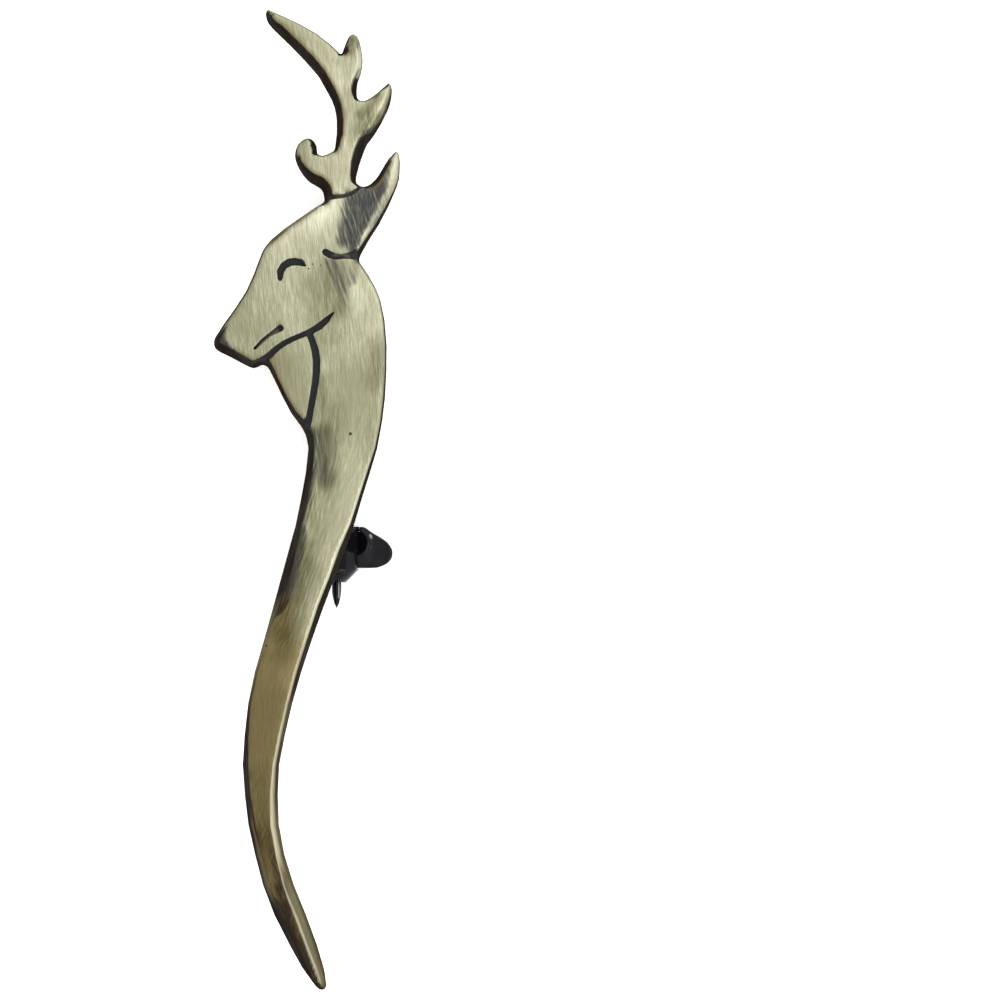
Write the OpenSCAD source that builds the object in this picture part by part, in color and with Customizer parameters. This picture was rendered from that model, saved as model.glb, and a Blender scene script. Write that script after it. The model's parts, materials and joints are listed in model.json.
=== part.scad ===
// Kilt pin in the form of a stag's head with one antler and a long tapering neck.
// The cast body carries a hinge joint and a revolving safety catch on its back, and a hinged
// pin stem closes into the catch. The pin lies face up on its joint and catch.
// +Z leaves the face and +Y runs up the antler. The origin is under the middle of the outline,
// on the surface that the pin rests on. All sizes are in millimetres.

/* [Antler] */
// Height of the antler above its root
antler_h = 19.0; // [15:0.1:24]
// Breadth of the antler from the tip of the beam to the tip of the back tine
antler_w = 12.9; // [11:0.1:16]
// Reach of the curled brow tine to the front
brow_w = 4.2; // [3.4:0.1:5]
// Height of the curled brow tine above the antler's root
brow_h = 5.9; // [5.2:0.1:6.6]
// Breadth of the top tine
tine_w = 2.2; // [1.8:0.1:2.8]
// Height of the top tine above its notch
tine_h = 2.0; // [1.5:0.1:3]
// Reach of the back tine behind its notch
back_w = 3.2; // [2.6:0.1:4]
// Height of the back tine from its root to its tip
back_h = 6.1; // [5.2:0.1:7]

/* [Head] */
// Breadth of the head from the nose to the nape
head_w = 17.6; // [16:0.1:20]
// Height of the head from the antler's root to the throat
head_h = 23.9; // [22:0.1:27]
// Breadth of the ear at its widest
ear_w = 4.5; // [3.8:0.1:5.4]
// Height of the ear above its crease
ear_h = 10.8; // [9.6:0.1:12]

/* [Neck] */
// Width of the neck under the throat
neck_w = 7.0; // [6.4:0.1:8]
// Sideways sweep of the neck's middle line
neck_sweep = 8.3; // [7:0.1:10]
// Length of the neck from the throat to its tip
neck_l = 57.1; // [48:0.1:68]

/* [Casting] */
// Thickness of the cast body
body_t = 2.6; // [2:0.05:3.4]
// Height at which the sloping side walls start above the back
skirt_h = 1.0; // [0.6:0.05:1.3]
// Width of the widest sloping side wall, seen from the front
wall_w = 0.9; // [0.4:0.05:1.1]
// Width of the widest bevel between a side wall and the face
bevel_w = 0.8; // [0.4:0.05:1]
// Drop of the bevels below the face
bevel_drop = 0.35; // [0.15:0.05:0.5]
// Width of the softened edge between side wall and face
soft_edge = 0.12; // [0.06:0.01:0.2]
// Chamfer round the back
back_edge = 0.15; // [0.05:0.01:0.3]
// Width of the widest engraved line
line_w = 0.7; // [0.4:0.05:0.9]
// Depth of the engraved lines
line_d = 0.45; // [0.2:0.05:0.7]

/* [Stem] */
// Diameter of the pin stem between the hinge and the catch
stem_d = 1.3; // [1.2:0.05:1.4]
// Diameter of the stem's end, which lies in the catch
tip_d = 0.95; // [0.8:0.05:1.1]
// Length of the stem that stands out under the catch
point_out = 2.7; // [2:0.1:5]
// Length of the stem's tapered point
point_l = 1.8; // [1:0.1:2.2]
// Clear height for cloth between the stem and the back
cloth_gap = 2.15; // [1.9:0.05:3]

/* [Joint] */
// Distance from the antler's root down to the hinge
hinge_drop = 2.95; // [2.8:0.05:4]
// Diameter of the hinge rivet
rivet_d = 1.2; // [0.9:0.05:1.4]
// Diameter of the rivet's heads
rivet_head_d = 1.9; // [1.7:0.05:2.1]
// Thickness of the rivet's heads
rivet_head_t = 0.3; // [0.2:0.05:0.4]
// Length of the stem's knuckle between the hinge ears
knuckle_l = 3.2; // [2.6:0.05:3.4]
// Diameter of the stem's knuckle
knuckle_d = 2.5; // [2.2:0.05:3.2]
// Thickness of each hinge ear
ear_plate_t = 1.3; // [1:0.05:1.45]
// Breadth of the hinge ears along the stem
ear_plate_w = 2.2; // [2.1:0.05:2.4]
// Rounding of the hinge ears' free corners
ear_round = 0.5; // [0.2:0.05:0.8]

/* [Catch] */
// Distance from the hinge to the upper end of the catch
catch_drop = 30.8; // [29.6:0.1:31.6]
// Outer diameter of the catch's case
case_d = 4.6; // [4.3:0.05:4.9]
// Wall of the catch's case round the rotor
case_wall = 0.55; // [0.4:0.05:0.7]
// Length of the straight part of the case
case_l = 4.35; // [4.1:0.05:4.8]
// Length of the case's tapered nose
nose_l = 1.35; // [1:0.05:1.6]
// Wall of the case at the end of its nose
nose_wall = 0.2; // [0.1:0.05:0.3]
// Length of case left standing above the lever's window
cheek_t = 0.5; // [0.35:0.05:0.7]
// Width of the mouth that lets the stem in
mouth_w = 1.5; // [1.4:0.05:1.7]
// Thickness of the rotor's tube wall
rotor_wall = 0.95; // [0.7:0.05:1]
// Reach of the thumb lever from the stem's line
lever_reach = 5.75; // [5:0.05:6.5]
// Thickness of the thumb lever
lever_t = 1.4; // [1:0.05:1.5]
// Depth of the thumb hollow in the lever
hollow_d = 0.45; // [0.2:0.05:0.6]
// Radius of the thumb hollow's round floor
hollow_r = 5; // [4:0.5:8]
// Width of the solder foot between the case and the body
foot_w = 3.0; // [2.4:0.1:3.4]

/* [Clearances] */
// Radial running clearance of the rivet and of the rotor
run_gap = 0.05; // [0.02:0.01:0.09]
// Clearance beside the knuckle, the heads and the lever
side_gap = 0.1; // [0.06:0.01:0.16]
// Distance above the catch at which the stem narrows
step_gap = 0.3; // [0.1:0.05:0.6]

/* [Hidden] */
brass = [0.70, 0.67, 0.50];
gunmetal = [0.20, 0.20, 0.22];
round_fn = 64;
sink = 0.2;

// Heights above the surface that the pin rests on
stem_z = case_d / 2;
back_z = stem_z + stem_d / 2 + cloth_gap;
face_z = back_z + body_t;

// The outline runs clockwise from the antler's root, seen from the front. Each row holds
// [x, y, wall, bevel]: its place in shares of the sizes named in outline_rows, the width of
// the sloping wall in shares of wall_w, and the width of the bevel in shares of bevel_w.
brow_tine = [
    [-0.29, -0.02, 0.80, 0], [-0.34, 0.095, 0.90, 0], [-0.455, 0.165, 0.95, 0],
    [-0.635, 0.235, 0.85, 0], [-0.815, 0.375, 0.65, 0], [-0.95, 0.55, 0.40, 0],
    [-0.995, 0.705, 0.20, 0.2], [-0.94, 0.86, 0.10, 0.2], [-0.815, 0.96, 0.10, 0.2],
    [-0.685, 0.995, 0.10, 0.1], [-0.555, 0.955, 0.30, 0], [-0.475, 0.855, 0.65, 0],
    [-0.46, 0.75, 0.50, 0], [-0.415, 0.71, 0.10, 0], [-0.305, 0.695, 0.10, 0],
    [-0.15, 0.74, 0.10, 0], [-0.04, 0.795, 0.15, 0]
];
beam = [
    [-0.005, 0.274, 0.30, 0], [0.006, 0.333, 0.50, 0], [0.006, 0.403, 0.60, 0],
    [-0.0135, 0.4785, 0.65, 0], [-0.062, 0.551, 0.70, 0], [-0.139, 0.6425, 0.75, 0],
    [-0.246, 0.726, 0.80, 0], [-0.365, 0.809, 0.75, 0], [-0.476, 0.882, 0.75, 0],
    [-0.536, 0.9275, 0.80, 0], [-0.5555, 0.9705, 0.75, 0], [-0.5475, 0.9935, 0.40, 0],
    [-0.524, 0.998, 0.10, 0], [-0.4365, 0.9705, 0.10, 0], [-0.2855, 0.9225, 0.10, 0],
    [-0.1585, 0.8735, 0.10, 0], [-0.0435, 0.813, 0.10, 0], [0.02, 0.7705, 0.10, 0],
    [0.0415, 0.7635, 0.30, 0]
];
top_tine = [
    [0.105, 0.225, 0.50, 0], [0.27, 0.70, 0.50, 0], [0.43, 0.95, 0.30, 0],
    [0.595, 0.99, 0.10, 0], [0.79, 0.785, 0.15, 0], [0.92, 0.30, 0.30, 0.1],
    [0.99, -0.35, 0.35, 0.1], [0.91, -1.00, 0.40, 0.1]
];
back_tine = [
    [-0.09, 0.315, 0.50, 0], [-0.125, 0.165, 0.55, 0], [-0.105, 0.05, 0.35, 0],
    [0, 0, 0.10, 0], [0.205, 0.015, 0.10, 0], [0.51, 0.12, 0.10, 0.2],
    [0.81, 0.26, 0.10, 0.2], [0.915, 0.285, 0.10, 0.2], [0.995, 0.20, 0.10, 0.4],
    [0.98, 0.05, 0.15, 0.6], [0.865, -0.16, 0.25, 0.7], [0.67, -0.365, 0.35, 0.5],
    [0.43, -0.575, 0.70, 0.1], [0.215, -0.72, 1.00, 0]
];
antler_stem = [
    [0.216, 0.231, 1.00, 0], [0.185, 0.172, 0.90, 0], [0.1625, 0.1155, 0.65, 0],
    [0.157, 0.0835, 0.50, 0]
];
ear = [
    [0.025, 0.70, 0.25, 0], [0.13, 0.675, 0.15, 0], [0.25, 0.68, 0.30, 0],
    [0.365, 0.71, 0.35, 0], [0.51, 0.78, 0.35, 0], [0.685, 0.905, 0.20, 0.1],
    [0.82, 0.975, 0.10, 0.2], [0.92, 1.00, 0.05, 0.3], [0.975, 0.965, 0.05, 0.5],
    [0.995, 0.875, 0.10, 0.8], [0.97, 0.745, 0.10, 0.95], [0.875, 0.625, 0.15, 1.0],
    [0.715, 0.475, 0.25, 1.0], [0.51, 0.315, 0.30, 0.7], [0.28, 0.165, 0.35, 0.3],
    [0.125, 0.05, 0.45, 0], [0.065, -0.02, 0.20, 0]
];
nape = [
    [0.149, 0.298, 0.05, 0.1], [0.187, 0.339, 0.05, 0.2], [0.2245, 0.387, 0.05, 0.2],
    [0.2585, 0.4505, 0.05, 0.2], [0.2805, 0.53, 0.10, 0.2], [0.293, 0.637, 0.10, 0.2],
    [0.292, 0.7435, 0.10, 0.2], [0.284, 0.859, 0.15, 0.2], [0.2675, 0.9615, 0.15, 0.1]
];
throat = [
    [-0.165, 1.0555, 0.55, 0], [-0.177, 1.019, 0.65, 0], [-0.2065, 0.98, 0.55, 0],
    [-0.257, 0.9295, 0.35, 0], [-0.308, 0.86, 0.28, 0], [-0.352, 0.792, 0.28, 0],
    [-0.384, 0.7445, 0.35, 0], [-0.405, 0.7265, 0.50, 0], [-0.433, 0.722, 0.55, 0],
    [-0.459, 0.7315, 0.60, 0], [-0.4855, 0.734, 0.60, 0]
];
muzzle = [
    [-0.532, 0.7195, 0.65, 0], [-0.606, 0.6905, 0.70, 0], [-0.6685, 0.668, 0.70, 0],
    [-0.6975, 0.6525, 0.60, 0], [-0.708, 0.628, 0.50, 0], [-0.6975, 0.601, 0.30, 0.1],
    [-0.654, 0.551, 0.17, 0.2], [-0.5785, 0.474, 0.17, 0.2], [-0.52, 0.406, 0.17, 0.2],
    [-0.4795, 0.3405, 0.17, 0.2], [-0.4495, 0.282, 0.17, 0.2], [-0.4245, 0.235, 0.15, 0.2],
    [-0.376, 0.1875, 0.12, 0.1], [-0.2965, 0.139, 0.10, 0.1], [-0.18, 0.08, 0.10, 0.1],
    [-0.102, 0.042, 0.10, 0], [-0.071, 0.0255, 0.30, 0]
];

// Sections across the neck, from the throat to the tip. Each row holds [down, middle, width,
// left wall, right wall, right bevel], in shares of neck_l, neck_sweep, neck_w, wall_w and
// bevel_w.
neck = [
    [0.034, 0.081, 1.000, 0.50, 0.20, 0], [0.075, 0.024, 0.935, 0.55, 0.30, 0],
    [0.1215, -0.055, 0.885, 0.55, 0.33, 0], [0.17, -0.139, 0.848, 0.55, 0.40, 0],
    [0.218, -0.2445, 0.815, 0.65, 0.60, 0.1], [0.268, -0.356, 0.775, 0.80, 0.55, 0.1],
    [0.318, -0.4685, 0.732, 0.50, 0.60, 0.1], [0.375, -0.592, 0.697, 0.20, 0.50, 0.1],
    [0.432, -0.7135, 0.678, 0.12, 0.45, 0.1], [0.489, -0.8105, 0.642, 0.15, 0.38, 0.1],
    [0.5465, -0.878, 0.586, 0.30, 0.33, 0.15], [0.598, -0.9235, 0.530, 0.45, 0.30, 0.2],
    [0.652, -0.919, 0.480, 0.45, 0.28, 0.4], [0.705, -0.891, 0.443, 0.55, 0.25, 0.5],
    [0.759, -0.8155, 0.425, 0.55, 0.22, 0.5], [0.8125, -0.71, 0.446, 0.55, 0.18, 0.6],
    [0.866, -0.5655, 0.458, 0.65, 0.12, 0.6], [0.92, -0.403, 0.395, 0.60, 0.10, 0.6],
    [0.959, -0.289, 0.316, 0.40, 0.08, 0.4], [0.986, -0.2075, 0.197, 0.15, 0.05, 0.2],
    [0.998, -0.173, 0.091, 0.05, 0.05, 0.1]
];

// Middle lines of the engraved lines. Each row holds [x, down, width] in shares of head_w,
// head_h and line_w.
eye_line = [
    [-0.3225, 0.3545, 0.60], [-0.32, 0.325, 0.95], [-0.302, 0.3005, 0.95],
    [-0.2705, 0.2855, 1.00], [-0.2355, 0.282, 0.95], [-0.2065, 0.2875, 0.75],
    [-0.1775, 0.299, 0.20]
];
crease_line = [
    [-0.059, 0.2415, 0.85], [-0.035, 0.252, 0.90], [0, 0.2605, 0.80], [0.0405, 0.2595, 0.60],
    [0.0755, 0.2565, 0.80], [0.1045, 0.254, 1.20], [0.145, 0.2585, 1.50]
];
jaw_line = [
    [-0.4885, 0.72, 0.70], [-0.43, 0.705, 0.90], [-0.3835, 0.6815, 0.85],
    [-0.346, 0.655, 0.75], [-0.302, 0.6315, 0.70], [-0.25, 0.612, 0.65],
    [-0.1975, 0.596, 0.65], [-0.1455, 0.58, 0.75], [-0.093, 0.557, 0.90],
    [-0.0525, 0.531, 0.75], [-0.0145, 0.50, 0.15]
];
lip_line = [
    [-0.32, 0.5655, 0.85], [-0.349, 0.579, 0.65], [-0.3835, 0.595, 0.40],
    [-0.4245, 0.6195, 0.40], [-0.468, 0.652, 0.30]
];
throat_line = [
    [-0.154, 0.5855, 0.80], [-0.1335, 0.624, 0.85], [-0.118, 0.6625, 0.95],
    [-0.1105, 0.705, 0.95], [-0.1115, 0.748, 0.95], [-0.1175, 0.795, 0.90],
    [-0.129, 0.846, 0.85], [-0.1425, 0.902, 0.80], [-0.155, 0.953, 0.85],
    [-0.17, 1.004, 0.90]
];
root_line = [
    [-0.0815, 0.015, 0.90], [-0.035, 0.0085, 0.60], [0.0115, 0.005, 0.50],
    [0.0525, 0.001, 0.45], [0.087, -0.0075, 0.45], [0.1165, -0.02, 0.45],
    [0.148, -0.0425, 0.50]
];

// Half outline of the thumb lever, in shares of lever_reach along it and of case_l across it:
// the front edge outwards, then the rear edge back
lever_edge = [
    [0.43, 0.00], [0.47, -0.01], [0.53, 0.03], [0.60, 0.11], [0.72, 0.20], [0.84, 0.30],
    [0.93, 0.40], [0.985, 0.50], [1.00, 0.60], [0.98, 0.73], [0.90, 0.84], [0.78, 0.92],
    [0.64, 0.955], [0.50, 0.965], [0.40, 0.97]
];

// Rows of a table, put at a place and scaled by two sizes
function placed(rows, at, size) = [
    for (r = rows) [at.x + r[0] * size.x, at.y + r[1] * size.y, r[2] * wall_w, r[3] * bevel_w]
];
top_notch = [beam[len(beam) - 1][0] * antler_w, beam[len(beam) - 1][1] * antler_h];
back_notch = [0.1945 * antler_w, 0.511 * antler_h];
ear_root = [0.1165 * head_w, -0.265 * head_h];
neck_right = [
    for (r = neck) [
        r[1] * neck_sweep + r[2] * neck_w / 2, -head_h - r[0] * neck_l,
        r[4] * wall_w, r[5] * bevel_w
    ]
];
neck_left = [
    for (i = [len(neck) - 1:-1:0]) let (r = neck[i]) [
        r[1] * neck_sweep - r[2] * neck_w / 2, -head_h - r[0] * neck_l, r[3] * wall_w, 0
    ]
];
outline_rows = concat(
    placed(brow_tine, [0, 0], [brow_w, brow_h]),
    placed(beam, [0, 0], [antler_w, antler_h]),
    placed(top_tine, top_notch, [tine_w, tine_h]),
    placed(back_tine, back_notch, [back_w, back_h]),
    placed(antler_stem, [0, 0], [antler_w, antler_h]),
    placed(ear, ear_root, [ear_w, ear_h]),
    placed(nape, [0, 0], [head_w, -head_h]),
    neck_right,
    neck_left,
    placed(throat, [0, 0], [head_w, -head_h]),
    placed(muzzle, [0, 0], [head_w, -head_h])
);

// A smooth curve through a closed loop of rows. Each stretch is split by how far it turns.
function flat(v) = [v.x, v.y];
function heading(rows, i) =
    let (n = len(rows), d = flat(rows[(i + 1) % n]) - flat(rows[(i + n - 1) % n]))
    d / norm(d);
function turn(a, b) = acos(max(-1, min(1, a * b)));
function stretch(a, b, ta, tb, t) =
    let (
        s = norm(flat(b) - flat(a)),
        h = t * t * (3 - 2 * t),
        xy = flat(a) * (1 - h) + flat(b) * h
            + ta * s * t * (1 - t) * (1 - t) - tb * s * t * t * (1 - t)
    )
    [xy.x, xy.y, a[2] * (1 - h) + b[2] * h, a[3] * (1 - h) + b[3] * h];
turn_step = 9;
function smooth_loop(rows) = [
    for (i = [0:len(rows) - 1])
        let (
            n = len(rows),
            a = rows[i], b = rows[(i + 1) % n],
            ta = heading(rows, i), tb = heading(rows, (i + 1) % n),
            steps = max(1, ceil(turn(ta, tb) / turn_step))
        )
        for (k = [0:steps - 1]) stretch(a, b, ta, tb, k / steps)
];
loop = smooth_loop(outline_rows);
loop_n = len(loop);

// The loop runs clockwise, so the inside lies to the right of its heading
function inward(i) = let (d = heading(loop, i)) [d.y, -d.x];
// Radius of the largest circle inside the outline that touches it at a point
function room(i) =
    let (p = flat(loop[i]), n = inward(i))
    min([
        for (j = [0:loop_n - 1])
            let (d = flat(loop[j]) - p, along = d * n)
            if (along > 0.02) d * d / (2 * along)
    ]);
inward_of = [for (i = [0:loop_n - 1]) inward(i)];
room_of = [for (i = [0:loop_n - 1]) room(i)];
inset_share = 0.8;
// Insets of the wall's top and of the face's edge, both cut down in the same share at narrow tips
function cut(i) =
    let (want = loop[i][2] + loop[i][3] + soft_edge)
    min(1, inset_share * room_of[i] / want);
cut_of = [for (i = [0:loop_n - 1]) cut(i)];
function ring(inset, z) = [
    for (i = [0:loop_n - 1]) let (p = flat(loop[i]) + inward_of[i] * inset[i]) [p.x, p.y, z]
];
none = [for (i = [0:loop_n - 1]) 0];
rings = [
    ring([for (i = [0:loop_n - 1]) min(back_edge, inset_share * room_of[i])], back_z),
    ring(none, back_z + back_edge),
    ring(none, back_z + skirt_h),
    ring([for (i = [0:loop_n - 1]) cut_of[i] * loop[i][2]], face_z - bevel_drop),
    ring([for (i = [0:loop_n - 1]) cut_of[i] * (loop[i][2] + loop[i][3] + soft_edge)], face_z)
];

// Middle of the outline's box, which is put over the origin
low = [min([for (p = loop) p.x]), min([for (p = loop) p.y])];
high = [max([for (p = loop) p.x]), max([for (p = loop) p.y])];
middle = (low + high) / 2;

hinge_y = -hinge_drop;
catch_y = hinge_y - catch_drop;
case_r = case_d / 2;
bore_r = case_r - case_wall;
rotor_r = bore_r - run_gap;
seat_r = rotor_r - rotor_wall;
ears_w = knuckle_l + 2 * side_gap + 2 * ear_plate_t;
window_l = case_l - cheek_t;
stem_l = catch_drop + case_l + nose_l + point_out;
rotor_l = window_l - 2 * side_gap;

module centred() {
    translate([-middle.x, -middle.y, 0]) children();
}

module casting() {
    n = loop_n;
    last = len(rings) - 1;
    polyhedron(
        points = [for (r = rings) for (p = r) p],
        faces = concat(
            [[for (i = [n - 1:-1:0]) i]],
            [[for (i = [0:n - 1]) last * n + i]],
            [
                for (k = [0:last - 1])
                    for (i = [0:n - 1])
                        [k * n + i, (k + 1) * n + (i + 1) % n, (k + 1) * n + i]
            ],
            [
                for (k = [0:last - 1])
                    for (i = [0:n - 1])
                        [k * n + i, k * n + (i + 1) % n, (k + 1) * n + (i + 1) % n]
            ]
        ),
        convexity = 10
    );
}

// An engraved line of changing width, with round ends
module engraved(rows) {
    n = len(rows);
    mid = [for (r = rows) [r[0] * head_w, -r[1] * head_h]];
    half = [for (r = rows) r[2] * line_w / 2];
    side = [
        for (i = [0:n - 1])
            let (d = mid[min(n - 1, i + 1)] - mid[max(0, i - 1)])
            [-d.y, d.x] / norm(d)
    ];
    translate([0, 0, face_z - line_d])
        linear_extrude(line_d + sink) {
            polygon(concat(
                [for (i = [0:n - 1]) mid[i] + side[i] * half[i]],
                [for (i = [n - 1:-1:0]) mid[i] - side[i] * half[i]]
            ));
            for (i = [0, n - 1])
                translate(mid[i]) circle(half[i], $fn = 24);
        }
}

// A solid along X or Y through a flat shape drawn in the plane that the name gives
module across_x(length) {
    rotate([90, 0, 90]) linear_extrude(length, center = true) children();
}

module hinge_ear(at) {
    h = back_z + sink;
    w = ear_plate_w / 2;
    translate([at, hinge_y, 0])
        difference() {
            across_x(ear_plate_t) {
                translate([-w, ear_round]) square([2 * w, h - ear_round]);
                translate([-w + ear_round, 0]) square([2 * (w - ear_round), h]);
                for (s = [-1, 1])
                    translate([s * (w - ear_round), ear_round]) circle(ear_round, $fn = round_fn);
            }
            translate([0, 0, stem_z])
                rotate([0, 90, 0])
                    cylinder(r = rivet_d / 2 + run_gap, h = 2 * ear_plate_t, center = true,
                        $fn = round_fn);
        }
}

// The case of the catch lies along the stem, from its upper end down to its tapered nose
module catch_case() {
    heel_x = -mouth_w / 2;
    translate([0, catch_y, stem_z])
        rotate([90, 0, 0])
            difference() {
                union() {
                    cylinder(r = case_r, h = case_l, $fn = round_fn);
                    translate([0, 0, case_l])
                        cylinder(r1 = case_r, r2 = seat_r + nose_wall, h = nose_l, $fn = round_fn);
                    translate([-case_r, -stem_z, 0])
                        cube([case_r + heel_x, stem_z, case_l]);
                    translate([-foot_w * 0.65, 0, 0])
                        cube([foot_w, back_z - stem_z + sink, case_l]);
                }
                translate([0, 0, -sink])
                    cylinder(r = bore_r, h = case_l + sink, $fn = round_fn);
                cylinder(r = seat_r, h = case_l + nose_l + sink, $fn = round_fn);
                translate([-mouth_w / 2, -case_d, -sink])
                    cube([mouth_w, case_d, case_l + nose_l + 2 * sink]);
                translate([-mouth_w / 2 - 2 * side_gap, -case_d, cheek_t])
                    cube([case_d + mouth_w, case_d + lever_t / 2 + side_gap, window_l]);
            }
}

module stag_body() {
    color(brass)
        centred() {
            // The cast plate is made as one mesh, and the fittings on its back are joined to it
            resize([0, 0, 0])
                difference() {
                    casting();
                    engraved(eye_line);
                    engraved(crease_line);
                    engraved(jaw_line);
                    engraved(lip_line);
                    engraved(throat_line);
                    engraved(root_line);
                }
            for (s = [-1, 1])
                hinge_ear(s * (ears_w - ear_plate_t) / 2);
            catch_case();
        }
}

module hinge_rivet() {
    shank = ears_w + 2 * side_gap;
    color(gunmetal)
        centred()
            translate([0, hinge_y, stem_z])
                rotate([0, 90, 0]) {
                    cylinder(r = rivet_d / 2, h = shank + rivet_head_t, center = true,
                        $fn = round_fn);
                    for (s = [-1, 1])
                        translate([0, 0, s * (shank + rivet_head_t) / 2])
                            cylinder(r = rivet_head_d / 2, h = rivet_head_t, center = true,
                                $fn = round_fn);
                }
}

module pin_stem() {
    shank = stem_l - point_l;
    span = catch_drop - step_gap;
    r = tip_d / 2;
    color(gunmetal)
        centred()
            translate([0, hinge_y, stem_z])
                difference() {
                    union() {
                        rotate([0, 90, 0])
                            cylinder(r = knuckle_d / 2, h = knuckle_l, center = true,
                                $fn = round_fn);
                        rotate([90, 0, 0]) {
                            cylinder(r = stem_d / 2, h = span, $fn = round_fn);
                            rotate_extrude($fn = round_fn)
                                polygon([
                                    [0, sink], [r, sink], [r, shank],
                                    [r * 0.88, shank + point_l * 0.3],
                                    [r * 0.55, shank + point_l * 0.7], [0, stem_l]
                                ]);
                        }
                    }
                    rotate([0, 90, 0])
                        cylinder(r = rivet_d / 2 + run_gap, h = 2 * knuckle_l, center = true,
                            $fn = round_fn);
                }
}

module catch_rotor() {
    top = catch_y - cheek_t - side_gap;
    color(gunmetal)
        centred()
            difference() {
                union() {
                    translate([0, top, stem_z])
                        rotate([90, 0, 0])
                            cylinder(r = rotor_r, h = rotor_l, $fn = round_fn);
                    difference() {
                        translate([0, 0, stem_z - lever_t / 2])
                            linear_extrude(lever_t)
                                polygon(concat(
                                    [[seat_r + rotor_wall / 2, top]],
                                    [[case_r + side_gap, top]],
                                    [
                                        for (p = lever_edge)
                                            [p[0] * lever_reach, catch_y - p[1] * case_l]
                                    ],
                                    [[seat_r + rotor_wall / 2, top - rotor_l]]
                                ));
                        translate([
                            lever_reach * 0.68, catch_y - case_l * 0.52,
                            stem_z + lever_t / 2 - hollow_d + hollow_r
                        ])
                            sphere(hollow_r, $fn = round_fn);
                    }
                }
                translate([0, catch_y + sink, stem_z])
                    rotate([90, 0, 0])
                        cylinder(r = seat_r, h = case_l + 2 * sink, $fn = round_fn);
                translate([-mouth_w / 2 + side_gap, catch_y - case_l - sink, stem_z - case_d])
                    cube([mouth_w - 2 * side_gap, case_l + 2 * sink, case_d]);
            }
}

stag_body();
hinge_rivet();
pin_stem();
catch_rotor();
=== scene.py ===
import json
import math
from types import SimpleNamespace

import bmesh
import bpy
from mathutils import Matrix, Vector
from mathutils.kdtree import KDTree


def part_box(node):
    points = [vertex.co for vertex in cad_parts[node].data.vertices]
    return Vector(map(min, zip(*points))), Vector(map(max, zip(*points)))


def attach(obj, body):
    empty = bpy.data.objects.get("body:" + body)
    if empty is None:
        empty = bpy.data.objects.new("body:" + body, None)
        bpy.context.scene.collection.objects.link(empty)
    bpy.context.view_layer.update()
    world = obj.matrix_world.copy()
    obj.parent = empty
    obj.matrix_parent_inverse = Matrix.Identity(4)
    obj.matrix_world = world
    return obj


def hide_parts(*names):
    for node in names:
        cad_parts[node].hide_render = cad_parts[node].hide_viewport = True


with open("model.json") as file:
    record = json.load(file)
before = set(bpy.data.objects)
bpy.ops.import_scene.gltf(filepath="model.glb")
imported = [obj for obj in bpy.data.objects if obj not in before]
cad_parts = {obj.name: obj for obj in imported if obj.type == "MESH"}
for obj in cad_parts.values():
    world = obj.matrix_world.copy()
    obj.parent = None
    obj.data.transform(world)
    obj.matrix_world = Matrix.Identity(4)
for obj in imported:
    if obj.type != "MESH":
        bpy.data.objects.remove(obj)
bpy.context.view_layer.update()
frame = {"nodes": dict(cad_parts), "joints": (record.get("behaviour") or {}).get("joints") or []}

MM = 0.001

# Heights and places taken from the frame, in metres
PLATE_LOW, PLATE_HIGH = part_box("stag_body")
FACE_Z = PLATE_HIGH.z
STEM_AXIS = Vector(frame["joints"][0]["pos_m"])

# The cast plate: its thickness, its back, the height of its walls that is clear of the solder,
# the chamfer of its back, the height of the sloping edge round its face, and the most that an
# engraved line is deep, in metres
PLATE_T = 2.6 * MM
BACK_Z = FACE_Z - PLATE_T
CLEAR_Z = BACK_Z + 0.5 * MM
BACK_CHAMFER = 0.15 * MM
BEVEL_DROP = 0.35 * MM
LINE_DEPTH = 0.5 * MM

# Rounding of the face towards the outline and towards the engraved lines: reach and drop, in metres
EDGE_ROLL = [0.55 * MM, 0.09 * MM]
WIDE_ROLL = [0.60 * MM, 0.14 * MM]
LINE_ROLL = [0.30 * MM, 0.06 * MM]

# Depth of the hollow that each stain lies in, and how far from the edge it is reached, in metres
SCOOP = 0.12 * MM
SCOOP_EDGE = 1.0 * MM

# Size of the squares that the face is cut into, and spacing of the points along its edges
GRID = 0.25 * MM
EDGE_STEP = 0.05 * MM

# Number of outline edges that share in the width and direction of the wall at a place
RIM_MEAN = 6

# Least upward lean of a flat face, and the distances within which two heights, and two corners,
# are the same
FLAT = 0.999
NEAR = 0.01 * MM
MERGE = 0.002 * MM

# Direction, seen from the front, that the brighter side of the sky lies in
LIT_SIDE = Vector((0.85, 0.5)).normalized()

# What the plate's vertices carry for its material: the distances from the outline and from the
# engraved lines, the width of the wall and how far it faces the light, and what the tables of
# strokes further down give there
PLATE_VALUES = (
    "edge", "line", "rim", "side", "bare", "stain", "tone", "age", "creep", "worn", "satin",
    "rounded"
)

# What the plate's walls hold as their distance from the engraved lines, in millimetres
FAR_FROM_LINES = 9.0


def smooth_step(low, high, value):
    """0 at low, 1 at high, with soft ends."""
    t = min(1.0, max(0.0, (value - low) / (high - low)))
    return t * t * (3.0 - 2.0 * t)


def screen(red, green, blue):
    """A colour given as it shows on a screen, 0 to 255, in linear light."""
    return tuple(
        c / 12.92 if c <= 0.04045 else ((c + 0.055) / 1.055) ** 2.4
        for c in (red / 255, green / 255, blue / 255)
    ) + (1.0,)


# Materials

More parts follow.
